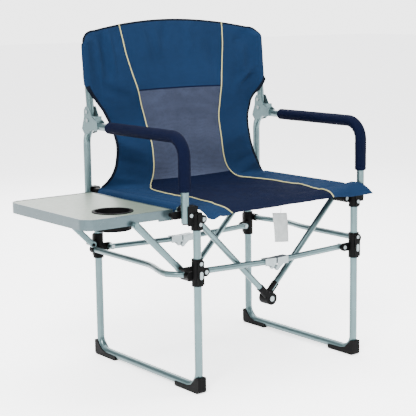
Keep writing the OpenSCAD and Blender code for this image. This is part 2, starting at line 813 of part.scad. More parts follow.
leg_frame(-1);  // left_leg_frame
leg_frame(1);  // right_leg_frame
foot(-1, -1);  // front_left_foot
foot(1, -1);  // front_right_foot
foot(-1, 1);  // rear_left_foot
foot(1, 1);  // rear_right_foot
arm_loop(-1);  // left_arm_loop
arm_loop(1);  // right_arm_loop
arm_pad(-1);  // left_arm_pad
arm_pad(1);  // right_arm_pad
seat_bracket(-1, -1);  // front_left_seat_bracket
seat_bracket(1, -1);  // front_right_seat_bracket
seat_bracket(-1, 1);  // rear_left_seat_bracket
seat_bracket(1, 1);  // rear_right_seat_bracket
mid_bracket(-1, -1);  // front_left_mid_bracket
mid_bracket(1, -1);  // front_right_mid_bracket
mid_bracket(-1, 1);  // rear_left_mid_bracket
mid_bracket(1, 1);  // rear_right_mid_bracket
seat_rail(-1);  // left_seat_rail
seat_rail(1);  // right_seat_rail
side_bar(-1, side_left_h, 28, 57 - leg_y, 36, 130);  // left_side_bar
side_bar(1, side_right_h, 14, leg_y - 125, 104, 104);  // right_side_bar
frame_rivets(-1);  // left_frame_rivets
frame_rivets(1);  // right_frame_rivets
cross_bar(-1, -1);  // front_bar_left
cross_bar(1, -1);  // front_bar_right
cross_bar(-1, 1);  // rear_bar_left
cross_bar(1, 1);  // rear_bar_right
hinge_leaf(-1, -1);  // front_leaf_left
hinge_leaf(1, -1);  // front_leaf_right
hinge_leaf(-1, 1);  // rear_leaf_left
hinge_leaf(1, 1);  // rear_leaf_right
hinge_pin(-1);  // front_hinge_pin
hinge_pin(1);  // rear_hinge_pin
link_arm(-1, -1);  // front_link_left
link_arm(1, -1);  // front_link_right
link_arm(-1, 1);  // rear_link_left
link_arm(1, 1);  // rear_link_right
hub_eye(-1, -1);  // front_eye_left
hub_eye(1, -1);  // front_eye_right
hub_eye(-1, 1);  // rear_eye_left
hub_eye(1, 1);  // rear_eye_right
hub_pin(-1);  // front_hub_pin
hub_pin(1);  // rear_hub_pin
back_bracket(-1);  // left_back_bracket
back_bracket(1);  // right_back_bracket
back_post(-1);  // left_back_post
back_post(1);  // right_back_post
back_pin(-1);  // left_back_pin
back_pin(1);  // right_back_pin
back_sling();
waist_sling();
seat_sling();
table_frame();
table_top();
cup_holder();
table_strut(-1);  // front_table_strut
table_strut(1);  // rear_table_strut
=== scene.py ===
import json
import math
import bpy
from mathutils import Matrix, Vector, noise


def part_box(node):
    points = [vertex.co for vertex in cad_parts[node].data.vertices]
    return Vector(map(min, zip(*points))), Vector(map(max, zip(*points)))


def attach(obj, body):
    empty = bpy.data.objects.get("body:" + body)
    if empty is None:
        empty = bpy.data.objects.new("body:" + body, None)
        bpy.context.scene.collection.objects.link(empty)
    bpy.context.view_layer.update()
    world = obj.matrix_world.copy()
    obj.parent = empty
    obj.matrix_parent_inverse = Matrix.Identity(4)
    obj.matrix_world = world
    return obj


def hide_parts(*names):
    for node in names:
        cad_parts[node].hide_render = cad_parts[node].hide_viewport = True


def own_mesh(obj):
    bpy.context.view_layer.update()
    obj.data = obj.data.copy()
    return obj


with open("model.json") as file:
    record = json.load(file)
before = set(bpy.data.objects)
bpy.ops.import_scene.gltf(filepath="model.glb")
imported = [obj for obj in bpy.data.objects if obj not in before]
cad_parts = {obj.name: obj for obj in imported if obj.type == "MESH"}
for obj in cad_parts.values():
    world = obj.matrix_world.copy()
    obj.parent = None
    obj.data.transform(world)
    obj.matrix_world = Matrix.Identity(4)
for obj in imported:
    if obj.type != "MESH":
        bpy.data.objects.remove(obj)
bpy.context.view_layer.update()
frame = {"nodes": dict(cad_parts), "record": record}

# The chair's middle lies this far from the frame's origin, because the side table is on one side
MIDDLE_X = sum(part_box(n)[i][0] for n in ("left_leg_frame", "right_leg_frame") for i in (0, 1)) / 4

# Places of the chair's tubes in millimetres: x from its middle, y towards the back, z up
POST_X = 278                    # armrest tubes and backrest posts
RAIL_X, RAIL_H = 264, 433       # seat rails
PIVOT_Y, PIVOT_H = 188, 640     # the backrest's pivots, where the back panel meets the waist
LEAN = 5.5                      # the posts' lean in degrees
LEAN_RISE = 0.0963              # and how far they go back for each millimetre up
TUBE_BORE = 9.75                # radius of a sleeve's inside on a 19 mm tube
RAIL_BORE = 8.25                # and on a seat rail


def at(x, y, z):
    """Chair millimetres (middle of the chair at x = 0) to the frame's metres."""
    return Vector((MIDDLE_X + x / 1000, y / 1000, z / 1000))


def add_object(name, data):
    obj = bpy.data.objects.new(name, data)
    bpy.context.collection.objects.link(obj)
    return obj


def add_mesh(name, verts, faces, materials, kinds=None):
    """A smooth-shaded object; kinds gives each face its material's number."""
    mesh = bpy.data.meshes.new(name)
    mesh.from_pydata([tuple(v) for v in verts], [], faces)
    for material in materials:
        mesh.materials.append(material)
    if kinds:
        mesh.polygons.foreach_set("material_index", kinds)
    mesh.polygons.foreach_set("use_smooth", [True] * len(faces))
    mesh.validate()
    mesh.update()
    return add_object(name, mesh)


# ---------- camera ----------
def make_camera():
    azimuth, elevation, roll = map(math.radians, (37.9, 9.7, -0.65))
    distance = 3.1
    sensor = 36
    focal, view = 685, 236      # focal length and width of the view, in one unit
    look = Vector((math.sin(azimuth) * math.cos(elevation),
                   math.cos(azimuth) * math.cos(elevation), -math.sin(elevation)))
    level = Vector((math.cos(azimuth), -math.sin(azimuth), 0))
    upright = level.cross(look)
    right = level * math.cos(roll) + upright * math.sin(roll)
    up = upright * math.cos(roll) - level * math.sin(roll)
    cam = add_object("camera", bpy.data.cameras.new("camera"))
    cam.matrix_world = Matrix((
        (right.x, up.x, -look.x, 0),
        (right.y, up.y, -look.y, 0),
        (right.z, up.z, -look.z, 0),
        (0, 0, 0, 1),
    ))
    cam.location = at(-0.5, 0, 375) - look * distance
    cam.data.sensor_width = sensor
    cam.data.lens = sensor * focal / view
    cam.data.shift_x = -9.5 / view
    cam.data.shift_y = 2.5 / view
    bpy.context.scene.camera = cam


make_camera()


# ---------- light ----------
BACKDROP = 3.75         # the plain pale backdrop that the camera sees


def soft_box(name, where, size, power):
    """A rectangular lamp that shines on the middle of the chair."""
    lamp = bpy.data.lights.new(name, "AREA")
    lamp.shape = "RECTANGLE"
    lamp.size, lamp.size_y = size
    lamp.energy = power
    obj = add_object(name, lamp)
    obj.location = where
    way = Vector((0, 0, 0.4)) - Vector(where)
    obj.rotation_euler = way.to_track_quat("-Z", "Y").to_euler()


def make_world():
    """A bright ceiling and darker walls for the tubes to mirror, behind a plain backdrop."""
    world = bpy.data.worlds.new("studio")
    bpy.context.scene.world = world
    world.use_nodes = True
    tree = world.node_tree
    way = tree.nodes.new("ShaderNodeSeparateXYZ")
    coord = tree.nodes.new("ShaderNodeTexCoord")
    tree.links.new(coord.outputs["Generated"], way.inputs[0])
    ramp = tree.nodes.new("ShaderNodeValToRGB")
    stops = ramp.color_ramp.elements
    for k, (place, grey) in enumerate(((0.0, 0.6), (0.14, 0.2), (0.45, 0.6), (0.75, 2.9))):
        if k > 1:
            stops.new(place)
        stops[k].position = place
        stops[k].color = (grey, grey, grey * 1.02, 1)
    tree.links.new(way.outputs["Z"], ramp.inputs[0])
    mix = tree.nodes.new("ShaderNodeMix")
    mix.data_type = "RGBA"
    mix.inputs[7].default_value = (BACKDROP, BACKDROP, BACKDROP, 1)
    ray = tree.nodes.new("ShaderNodeLightPath")
    tree.links.new(ray.outputs["Is Camera Ray"], mix.inputs[0])
    tree.links.new(ramp.outputs[0], mix.inputs[6])
    tree.links.new(mix.outputs[2], tree.nodes["Background"].inputs["Color"])


def make_floor():
    bpy.ops.mesh.primitive_plane_add(size=50, location=(0, 0, -0.0006))
    floor = bpy.context.object
    floor.name = "floor"
    material = bpy.data.materials.new("floor")
    material.use_nodes = True
    sockets = material.node_tree.nodes["Principled BSDF"].inputs
    sockets["Base Color"].default_value = (0.93, 0.93, 0.93, 1)
    sockets["Roughness"].default_value = 0.85
    sockets["Emission Color"].default_value = (1, 1, 1, 1)
    sockets["Emission Strength"].default_value = 1.6
    floor.data.materials.append(material)


make_world()
soft_box("key", (-2.2, -2.0, 2.6), (1.2, 1.4), 330)
soft_box("fill", (2.8, -1.8, 1.6), (1.0, 2.0), 60)
soft_box("top", (0.2, 0.4, 3.2), (2.6, 2.2), 150)
soft_box("rim", (1.2, 2.6, 1.8), (1.6, 1.2), 60)
make_floor()


# ---------- materials ----------
BLACK, WHITE = (0, 0, 0), (1, 1, 1)


class Mat:
    """A Principled material whose nodes are added one at a time."""

    def __init__(self, name, rough=0.5, metal=0.0, **sockets):
        self.m = bpy.data.materials.new(name)
        self.m.use_nodes = True
        self.t = self.m.node_tree
        self.b = self.t.nodes["Principled BSDF"]
        self.b.inputs["Roughness"].default_value = rough
        self.b.inputs["Metallic"].default_value = metal
        for k, v in sockets.items():
            self.b.inputs[k.replace("_", " ")].default_value = v
        self.coord = self.t.nodes.new("ShaderNodeTexCoord").outputs["Object"]

    def feed(self, socket, value):
        """Links another node's output to a socket, or sets a plain value on it."""
        if hasattr(value, "is_output"):
            self.t.links.new(value, socket)
        else:
            socket.default_value = value

    def node(self, kind, **inputs):
        n = self.t.nodes.new(kind)
        for k, v in inputs.items():
            self.feed(n.inputs[k.replace("_", " ")], v)
        return n

    def noise(self, scale, detail=3.0, rough=0.55, stretch=(1, 1, 1)):
        v = self.node("ShaderNodeMapping", Vector=self.coord, Scale=stretch).outputs[0]
        return self.node("ShaderNodeTexNoise", Vector=v, Scale=scale, Detail=detail,
                         Roughness=rough).outputs["Fac"]

    def ramp(self, fac, low, high):
        """From one colour to another; low and high are (place, colour)."""
        n = self.node("ShaderNodeValToRGB", Fac=fac)
        for k, (place, colour) in enumerate((low, high)):
            n.color_ramp.elements[k].position = place
            n.color_ramp.elements[k].color = (*colour, 1)
        return n.outputs["Color"]

    def math(self, op, a, b):
        n = self.t.nodes.new("ShaderNodeMath")
        n.operation = op
        self.feed(n.inputs[0], a)
        self.feed(n.inputs[1], b)
        return n.outputs[0]

    def mix(self, fac, a, b):
        n = self.t.nodes.new("ShaderNodeMix")
        n.data_type = "RGBA"
        for socket, v in ((n.inputs[0], fac), (n.inputs[6], a), (n.inputs[7], b)):
            self.feed(socket, (*v, 1) if isinstance(v, tuple) else v)
        return n.outputs[2]

    def set(self, socket, value):
        self.t.links.new(value, self.b.inputs[socket])

    def vary_roughness(self, height, amount, rough):
        self.set("Roughness", self.math("ADD", self.math("MULTIPLY", height, amount), rough))

    def bump(self, height, strength, distance):
        n = self.node("ShaderNodeBump", Height=height, Strength=strength, Distance=distance)
        self.set("Normal", n.outputs[0])

    def weave(self, pitch):
        """Two crossed sets of threads, pitch metres apart, 0 to 1."""
        threads = []
        for axis in ("X", "Z"):
            wave = self.node("ShaderNodeTexWave", Vector=self.coord, Scale=0.5 / pitch,
                             Distortion=0.0)
            wave.bands_direction = axis
            threads.append(wave.outputs["Fac"])
        return self.math("MULTIPLY", *threads)


def scaled(c, k):
    return tuple(min(1.0, v * k) for v in c)


def cloth_material(name, colour, pitch=0.0016):
    m = Mat(name, rough=0.85, Specular_IOR_Level=0.05)
    shade = m.ramp(m.noise(9, 4), (0.3, scaled(colour, 0.86)), (0.7, scaled(colour, 1.12)))
    slub = m.noise(160, 2, stretch=(0.25, 1, 1))
    shade = m.mix(m.math("MULTIPLY", slub, 0.22), shade, scaled(colour, 1.7))
    threads = m.weave(pitch)
    m.set("Base Color", m.mix(m.math("MULTIPLY", threads, 0.3), shade, scaled(colour, 0.55)))
    creases = m.noise(26, 3, stretch=(1, 1, 0.35))
    height = m.math("ADD", m.math("MULTIPLY", threads, 0.25), m.math("MULTIPLY", creases, 1.2))
    m.bump(height, 0.55, 0.0022)
    return m.m


def mesh_material(name, colour):
    """Open mesh: small dark holes on a grey-blue net."""
    m = Mat(name, rough=0.75, Specular_IOR_Level=0.08)
    v = m.node("ShaderNodeTexVoronoi", Vector=m.coord, Scale=390.0, Randomness=0.5)
    hole = m.ramp(v.outputs["Distance"], (0.22, WHITE), (0.42, BLACK))
    shade = m.ramp(m.noise(14, 5, 0.7), (0.3, scaled(colour, 0.8)), (0.7, scaled(colour, 1.2)))
    m.set("Base Color", m.mix(hole, shade, scaled(colour, 0.6)))
    m.bump(m.math("SUBTRACT", 1.0, hole), 0.5, 0.0012)
    return m.m


def paint_material(name, colour, metal=0.8, rough=0.32, wear=0.15):
    """Metallic paint with fine scuffs in patches."""
    m = Mat(name, rough=rough, metal=metal, Coat_Weight=0.15, Coat_Roughness=0.2)
    shade = m.ramp(m.noise(38, 4), (0.32, scaled(colour, 0.93)), (0.68, scaled(colour, 1.04)))
    scuff = m.ramp(m.noise(420, 2, stretch=(1, 1, 0.15)), (0.70, BLACK), (0.78, WHITE))
    patch = m.ramp(m.noise(6, 3), (0.52, BLACK), (0.66, WHITE))
    worn = m.math("MULTIPLY", m.math("MULTIPLY", scuff, patch), wear)
    m.set("Base Color", m.mix(worn, shade, scaled(colour, 0.62)))
    m.vary_roughness(m.noise(90, 3), 0.16, rough - 0.08)
    return m.m


def plastic_material(name, colour, rough):
    """Moulded plastic, paler on its edges."""
    m = Mat(name, rough=rough, Specular_IOR_Level=0.05)
    shade = m.ramp(m.noise(55, 4), (0.3, scaled(colour, 0.75)), (0.7, scaled(colour, 1.35)))
    pointed = m.node("ShaderNodeNewGeometry").outputs["Pointiness"]
    edge = m.ramp(pointed, (0.5, BLACK), (0.62, WHITE))
    m.set("Base Color", m.mix(m.math("MULTIPLY", edge, 0.25), shade, scaled(colour, 3.0)))
    m.vary_roughness(m.noise(140, 3), 0.2, rough - 0.1)
    m.bump(m.noise(1300, 2), 0.18, 0.0005)
    return m.m


def steel_material(name, colour, rough=0.3):
    """Brushed zinc-plated steel."""
    m = Mat(name, rough=rough, metal=1.0)
    m.set("Base Color", m.ramp(m.noise(60, 4), (0.3, scaled(colour, 0.82)), (0.7, colour)))
    m.vary_roughness(m.noise(700, 2, stretch=(0.1, 1, 1)), 0.25, rough - 0.1)
    m.bump(m.noise(500, 3, stretch=(0.2, 1, 1)), 0.08, 0.0004)
    return m.m


def paper_material(name, dark, pale):
    m = Mat(name, rough=0.75, Specular_IOR_Level=0.15)
    m.set("Base Color", m.ramp(m.noise(90, 3), (0.3, dark), (0.7, pale)))
    m.bump(m.noise(500, 3), 0.15, 0.0004)
    return m.m


def thread_material(name, dark, pale):
    m = Mat(name, rough=0.35)
    m.set("Base Color", m.ramp(m.noise(300), (0.3, dark), (0.7, pale)))
    return m.m


# One material for each of the record's slots
mats = {
    "frame_steel": paint_material("frame_paint", (0.078, 0.125, 0.132)),
    "black_plastic": plastic_material("black_plastic", (0.0008, 0.0008, 0.0009), 0.5),
    "bright_steel": steel_material("bright_steel", (0.24, 0.28, 0.29)),
    "table_panel": paint_material("table_panel", (0.088, 0.112, 0.084), 0.1, 0.4, 0.3),
    "table_metal": paint_material("table_aluminium", (0.046, 0.072, 0.080), 0.7, 0.3),
    "cup_plastic": plastic_material("cup_plastic", (0.0015, 0.0015, 0.0017), 0.6),
    "foam": cloth_material("foam_cover", (0.0005, 0.0016, 0.0090), 0.0013),
    "cloth": cloth_material("blue_cloth", (0.0028, 0.0118, 0.0330)),
}

# The sling's five materials, in the order of its faces' numbers
# The navy cloth colours the seat's middle, and also a narrow strip above the back's mesh that is a
# painted shadow under the lapped edge of the blue cloth
BLUE, MESH, NAVY_AND_PAINTED_SHADOW, BINDING, PIPING = range(5)
sling_materials = (
    mats["cloth"],
    mesh_material("mesh_cloth", (0.0205, 0.0262, 0.0460)),
    cloth_material("navy_cloth", (0.0004, 0.0021, 0.0108)),
    cloth_material("binding", (0.0012, 0.0025, 0.006), 0.0014),
    cloth_material("piping", (0.30, 0.285, 0.135), 0.0012),
)

slots = {p["node"]: p["material_slot"] for p in frame["record"]["subparts"]}
for name, obj in frame["nodes"].items():
    # the backrest's brackets are painted like the tubes
    slot = "frame_steel" if "back_bracket" in name else slots[name]
    obj.data.materials.clear()
    obj.data.materials.append(mats[slot])


# ---------- curves for the cloth ----------
def through(*stops):
    """Smooth curve through stops (t, a, b, ...): a function of t that gives [a, b, ...]."""
    last = len(stops) - 1

    def slope(i):
        a, b = stops[max(i - 1, 0)], stops[min(i + 1, last)]
        return [(q - p) / (b[0] - a[0]) for p, q in zip(a[1:], b[1:])]

    def f(t):
        t = min(max(t, stops[0][0]), stops[-1][0])
        k = 0
        while k < last - 1 and t > stops[k + 1][0]:
            k += 1
        w = stops[k + 1][0] - stops[k][0]
        s = (t - stops[k][0]) / w
        h = ((2 * s - 3) * s * s + 1, ((s - 2) * s + 1) * s * w,
             (3 - 2 * s) * s * s, (s - 1) * s * s * w)
        return [h[0] * p + h[1] * m + h[2] * q + h[3] * n for p, m, q, n in
                zip(stops[k][1:], slope(k), stops[k + 1][1:], slope(k + 1))]
    return f


def smooth(a, b, v):
    """0 at a, 1 at b, with soft ends; a may be above b."""
    s = min(max((v - a) / (b - a), 0.0), 1.0)
    return s * s * (3 - 2 * s)


def dome(v):
    """A quarter circle: 1 at 0, down to 0 at 1."""
    return math.sqrt(max(0.0, 1 - v ** 2))


def fold(p, q, width, depth):
    """A crease from p to q in the cloth's own two coordinates, fading at both ends."""
    a, d = Vector(p), Vector(q) - Vector(p)

    def f(v):
        s = min(max((v - a).dot(d) / d.length_squared, -0.1), 1.1)
        gap = (v - a - d * s).length
        return (depth * math.exp(-(gap / width) ** 2)
                * smooth(-0.1, 0.35, s) * (1 - smooth(0.65, 1.1, s)))
    return f


def ripple(x, z, size, seed):
    return noise.noise(Vector((x / size, z / (size * 1.7), seed)))


# ---------- the sling's shape ----------
# A point of the cloth is (u, t): u runs across, from -1 to 1 with 0 in the middle, and t runs down
PIPE = 0.6              # the piping's place on u
RIM = 0.972             # the binding runs from here to the edge
CLOTH = 1.8             # thickness of the cloth
STITCH_X = 246          # the stitches beside the posts and the rails

BACK_X = 292            # half the width of the back panel
PIPE_X = 168            # the piping's distance from the middle at the panel's top
BACK_TOP = 866          # height of the panel's arch in the middle
ARCH = 34               # how far the arch drops towards the sides
CORNER_X, CORNER_H, CORNER_R = 250, 799.5, 42       # the panel's rounded top corners
BINDING_TOP = 703       # below this height the panel's sides are bound

# By height: x of the panel's side, x of its piping, and how far its middle lies behind the posts
edge_x = through(
    (640, 243), (655, 255), (667, 267), (690, 287), (703, 291.5), (760, 292), (800, 292))
pipe_x = through((640, 127), (686, 136), (780, 156), (866, 168))
belly = through((640, -8), (686, -9), (740, -1), (800, 8), (866, 20))

# Creases of the back panel and of the waist, in x and z
back_folds = [
    fold((-246, 835), (-240, 700), 9, -4.2), fold((-206, 850), (-196, 720), 8, -3.4),
    fold((-226, 842), (-214, 700), 9, 3.2), fold((-100, 862), (-84, 760), 10, -2.2),
    fold((-238, 700), (-150, 660), 12, 3.0), fold((-60, 866), (-52, 770), 9, -3.0),
    fold((-22, 866), (-30, 790), 10, 2.4), fold((60, 864), (44, 760), 11, -2.6),
    fold((250, 830), (196, 790), 14, 3.4), fold((262, 745), (170, 655), 11, -4.4),
    fold((258, 715), (176, 668), 8, 3.0), fold((226, 800), (214, 700), 13, -3.4),
    fold((-137, 686), (137, 686), 3.4, -1.2),       # the mesh's seam
    fold((110, 820), (130, 700), 14, 2.4), fold((-150, 810), (-128, 705), 14, 2.6),
]
waist_folds = [
    fold((-222, 560), (-120, 520), 12, 3.4), fold((-226, 520), (-128, 488), 9, -3.2),
    fold((222, 556), (124, 530), 12, 3.0), fold((232, 500), (150, 470), 9, -3.4),
    fold((-240, 470), (-150, 455), 8, 3.0), fold((240, 476), (156, 446), 8, 2.8),
    fold((-100, 620), (-60, 470), 18, -2.2), fold((80, 600), (50, 480), 16, 2.2),
]
# Creases of the seat, in x and y
seat_folds = [
    fold((-242, 128), (-168, 30), 8, 2.8), fold((-238, 92), (-166, -30), 7, -2.4),
    fold((-232, 20), (-160, -110), 9, 2.2), fold((-226, -70), (-176, -190), 8, -2.2),
    fold((240, 118), (172, 40), 9, 2.8), fold((238, 60), (168, -40), 7, -2.4),
    fold((232, -10), (150, -130), 9, 2.4), fold((228, -90), (120, -200), 9, -2.4),
]


def side_x(u, at_pipe, at_edge, bend=0.0):
    """x of u, from the piping's x and the edge's; bend crowds the columns towards the edge."""
    a = abs(u)
    if a <= PIPE:
        x = a / PIPE * at_pipe
    else:
        s = (a - PIPE) / (1 - PIPE)
        x = at_pipe + (at_edge - at_pipe) * (s + (math.sin(s * math.pi / 2) - s) * bend)
    return math.copysign(x, u)


def back_top(x):
    """Height of the panel's upper edge."""
    x = abs(x)
    if x > CORNER_X:
        return CORNER_H + math.sqrt(max(0.0, CORNER_R ** 2 - (x - CORNER_X) ** 2))
    return BACK_TOP - ARCH * (x / BACK_X) ** 2


def back_point(u, t):
    """(point, thickness) of the back panel's face; t is 0 at its top and 1 at the pivots."""
    top = back_top(side_x(u, PIPE_X, BACK_X, 1.0))
    z = top + (PIVOT_H - top) * t
    edge = edge_x(CORNER_H + (PIVOT_H - CORNER_H) * t)[0]
    x = side_x(u, pipe_x(850 - 210 * t)[0], edge, 1 - min(1.0, 3 * t))
    a = abs(x)
    wide = a / edge
    post = PIVOT_Y + (z - PIVOT_H) * LEAN_RISE

    # the wrap round a post: it grows from the stitches and is rounded at its outer side
    near = min(max((a - STITCH_X) / 30, 0.0), 1.0)
    arc = dome(max(0.0, a - 279) / 13.2)
    wrapped = smooth(696, 704, z) * (1 - smooth(812, 834, z))
    below = smooth(646, 668, z) * smooth(704, 696, z)
    front = 11.4 * near * (arc * wrapped + below)
    swell = 11.2 * near * arc * wrapped

    free = 1 - smooth(0.86, 0.97, wide)         # 1 where the cloth hangs free of the posts
    y = post + belly(z)[0] * (1 - wide ** 2.2) - 1 - front
    y += free * (1.9 * ripple(x, z, 62, 3.1) + 0.8 * ripple(x, z, 24, 8.2)) * smooth(1, 0.88, t)
    creases = sum(f(Vector((x, z))) for f in back_folds)
    y += (0.25 + 0.75 * free) * 1.7 * creases * smooth(0, 0.25, 1.02 - t)
    return (x, y, z), CLOTH + 2 * swell


# Waist and seat: t is 0 at the pivots, 1 where the waist turns into the seat, 2 at the front edge.
# By t: y and z of the cloth's middle, x, y and z of its edge, and x of its piping
seat_mid = through(
    (0, 180, 640), (.2, 174, 600), (.45, 157, 545), (.65, 149, 500), (.8, 142, 471),
    (.92, 131, 452), (1, 116, 443), (1.1, 88, 439), (1.3, 30, 437.5), (1.6, -80, 436.5),
    (1.85, -180, 434.5), (2, -231, 424))
seat_edge = through(
    (0, 243, 188, 640), (.2, 225, 179, 598), (.45, 219, 165, 552), (.65, 226, 158, 508),
    (.8, 240, 157, 478), (.92, 254, 162, 459), (1, 266, 169, 447), (1.06, 275, 168, 436),
    (1.12, 275.5, 150, 433), (1.3, 275.5, 80, 433), (1.6, 275.5, -60, 433),
    (1.82, 275.5, -162, 434), (1.86, 268, -182, 448), (1.9, 264, -199, 451),
    (1.95, 264, -219, 451), (1.98, 273, -235, 443), (2, 287, -247, 423))
seat_edge_left = through(
    (1.82, 275.5, -162, 434), (1.86, 250, -178, 438), (1.9, 234, -192, 437),
    (1.95, 233, -214, 432), (2, 231, -237, 417))
seat_pipe = through(
    (0, 127), (.2, 119), (.45, 114), (.65, 115), (.8, 121), (.92, 132), (1, 142),
    (1.1, 156), (1.3, 167), (1.6, 170), (1.85, 166), (2, 160))
WRAP_ENDS = 1.82        # from here on the seat's two front corners differ
RAIL_WRAP = 11.3        # radius of the cloth round a rail
CROWN = 444.6           # height of the cloth on top of a rail


def seat_point(u, t):
    """(point, thickness) of the cloth from the pivots' height down to the seat and forward."""
    mid_y, mid_z = seat_mid(t)
    edge = (seat_edge if u > 0 or t < WRAP_ENDS else seat_edge_left)(t)
    x = side_x(u, seat_pipe(t)[0], edge[0])
    a = abs(x)
    w = min(1.0, a / edge[0]) ** (2.2 if t < 1 or t > 1.84 else 2.6)
    y = mid_y + (edge[1] - mid_y) * w - (1 - smooth(0, 0.2, t))
    z = mid_z + (edge[2] - mid_z) * w

    # on the rails the seat rises from its middle to their crown and turns round them
    on = smooth(0.97, 1.1, t) * (1 - smooth(1.81, 1.86, t))
    arc = math.sqrt(max(0.0, RAIL_WRAP ** 2 - max(0.0, a - RAIL_X) ** 2))
    flat = mid_z + (CROWN - mid_z) * (a / 262) ** 2.2 if a < 262 else RAIL_H + arc
    z += (flat - z) * on

    free = 1 - smooth(0.84, 0.95, a / edge[0]) * on
    v = Vector((x, z if t < 1 else y))
    crease = 0.75 * sum(f(v) for f in waist_folds) if t < 0.95 else 0.0
    crease += (free * (1.7 * ripple(x, y + z, 58, 5.7) + 0.7 * ripple(x, y - z, 22, 1.4))
               * smooth(0, 0.12, t))
    if t > 1.0:
        stitches = 1.9 * math.exp(-((a - STITCH_X) / 3.6) ** 2) * on
        crease += smooth(1.02, 1.12, t) * (0.8 * sum(f(v) for f in seat_folds) - stitches)
    # the front edge is slack: it waves at its sides, most at its left corner
    side_wave = 1.6 * math.sin(x / 23 + 0.6) * smooth(70, 235, a)
    left_wave = smooth(-160, -200, x) * 6.0 * noise.noise(Vector((x / 26, y / 60, 2.2)))
    crease += smooth(1.84, 2.0, t) * (side_wave + left_wave)

    pull = smooth(1.0, 1.08, t)                 # creases go back on the waist and up on the seat
    y -= crease * (1 - pull)
    z += crease * pull
    thick = CLOTH
    if a > 238:
        thick += (20.5 * min(1.0, (a - 238) / 24) if a < RAIL_X else 2 * arc - CLOTH) * on
    return (x, y, z), max(0.4, thick)


def paint_back(u, t):
    if t < 0.022:
        return BINDING
    if abs(u) > RIM:
        return BINDING if CORNER_H - (CORNER_H - PIVOT_H) * t < BINDING_TOP else BLUE
    if abs(u) < PIPE and t > 0.78:
        return MESH if t > 0.8 else NAVY_AND_PAINTED_SHADOW        # a narrow navy strip above the mesh: a painted shadow under the lapped edge of the blue cloth
    return BLUE


def paint_seat(u, t):
    if abs(u) > RIM and t < 1.0:
        return BINDING
    if abs(u) < PIPE:
        return MESH if t < 0.9 else NAVY_AND_PAINTED_SHADOW
    return BLUE


# ---------- the sling's pieces ----------
side = [PIPE + (RIM - PIPE) * k / 34 for k in range(1, 35)] + [0.986, 1.0]
middle = [PIPE * k / 22 for k in range(-22, 23)]
COLS = [-u for u in reversed(side)] + middle + side
WELT = 1.5              # radius of the piping's cord
WELT_SIDES = 8


def cloth_piece(name, rows, point, paint):
    """A closed skin whose face follows point(u, t), with a cord of piping down each side."""
    R, C = len(rows), len(COLS)
    face, thick = [], []
    for t in rows:
        for u in COLS:
            p, h = point(u, t)
            face.append(at(*p))
            thick.append(h / 1000)
    normal = []
    for r in range(R):
        for c in range(C):
            along = face[min(r + 1, R - 1) * C + c] - face[max(r - 1, 0) * C + c]
            across = face[r * C + min(c + 1, C - 1)] - face[r * C + max(c - 1, 0)]
            normal.append(along.cross(across).normalized())
    verts = face + [p - n * h for p, n, h in zip(face, normal, thick)]
    faces, kinds = [], []

    def quad(ids, kind):
        faces.append(ids)
        kinds.append(kind)

    # front and back
    N = R * C
    for r in range(R - 1):
        for c in range(C - 1):
            a, b, d, e = r * C + c, r * C + c + 1, (r + 1) * C + c + 1, (r + 1) * C + c
            kind = paint((COLS[c] + COLS[c + 1]) / 2, (rows[r] + rows[r + 1]) / 2)
            quad((a, e, d, b), kind)
            quad((a + N, b + N, d + N, e + N), kind)
    # the four edges
    for r in range(R - 1):
        for c, step in ((0, 1), (C - 1, -1)):
            a, e = r * C + c, (r + 1) * C + c
            quad((a, a + N, e + N, e)[::step], paint(COLS[c], (rows[r] + rows[r + 1]) / 2))
    for c in range(C - 1):
        for r, step in ((0, -1), (R - 1, 1)):
            a, b = r * C + c, r * C + c + 1
            quad((a, a + N, b + N, b)[::step], paint((COLS[c] + COLS[c + 1]) / 2, rows[r]))
    # the piping
    for s in (-1, 1):
        col = COLS.index(min(COLS, key=lambda u: abs(u - s * PIPE)))
        start = len(verts)
        for r in range(R):
            i = r * C + col
            across = (face[i + 1] - face[i - 1]).normalized()
            axis = face[i] + normal[i] * WELT * 0.0005
            for k in range(WELT_SIDES):
                a = k * math.pi / 4
                out = across * math.cos(a) + normal[i] * math.sin(a)
                verts.append(axis + out * WELT / 1000)
        for r in range(R - 1):
            for k in range(WELT_SIDES):
                a = start + r * WELT_SIDES + k
                b = start + r * WELT_SIDES + (k + 1) % WELT_SIDES
                quad((a, b, b + WELT_SIDES, a + WELT_SIDES), PIPING)
        end = start + (R - 1) * WELT_SIDES
        quad(tuple(start + k for k in reversed(range(WELT_SIDES))), PIPING)
        quad(tuple(end + k for k in range(WELT_SIDES)), PIPING)

    obj = add_mesh(name, verts, faces, sling_materials, kinds)
    obj.data.set_sharp_from_angle(angle=math.radians(55))
    return obj


back_rows = [0, 0.008, 0.022] + [0.022 + 0.978 * k / 58 for k in range(1, 59)]
seat_rows = [k / 56 for k in range(57)] + [1 + k / 72 for k in range(1, 73)]
back = cloth_piece("back_panel", back_rows, back_point, paint_back)
seat = cloth_piece("seat_and_waist", seat_rows, seat_point, paint_seat)
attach(back, "backrest_left")
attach(seat, "left_frame")
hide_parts("back_sling")
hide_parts("seat_sling", "waist_sling")
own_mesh(back)
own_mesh(seat)


# ---------- round skins ----------
def tube_skin(name, path, rings, material, sides):
    """A closed skin: rings (s, radius) along path(s) -> (point, across, up).

    A radius is a number, or a function of the angle and s. The last ring joins the first.
    """
    verts, faces = [], []
    for s, radius in rings:
        p, across, up = path(s)
        for k in range(sides):
            a = 2 * math.pi * k / sides
            r = radius(a, s) if callable(radius) else radius
            verts.append(at(*(p[i] + r * (across[i] * math.cos(a) + up[i] * math.sin(a))
                              for i in range(3))))
    for i in range(len(rings)):
        j = (i + 1) % len(rings)
        for k in range(sides):
            m = (k + 1) % sides
            faces.append((i * sides + k, i * sides + m, j * sides + m, j * sides + k))
    return add_mesh(name, verts, faces, [material])


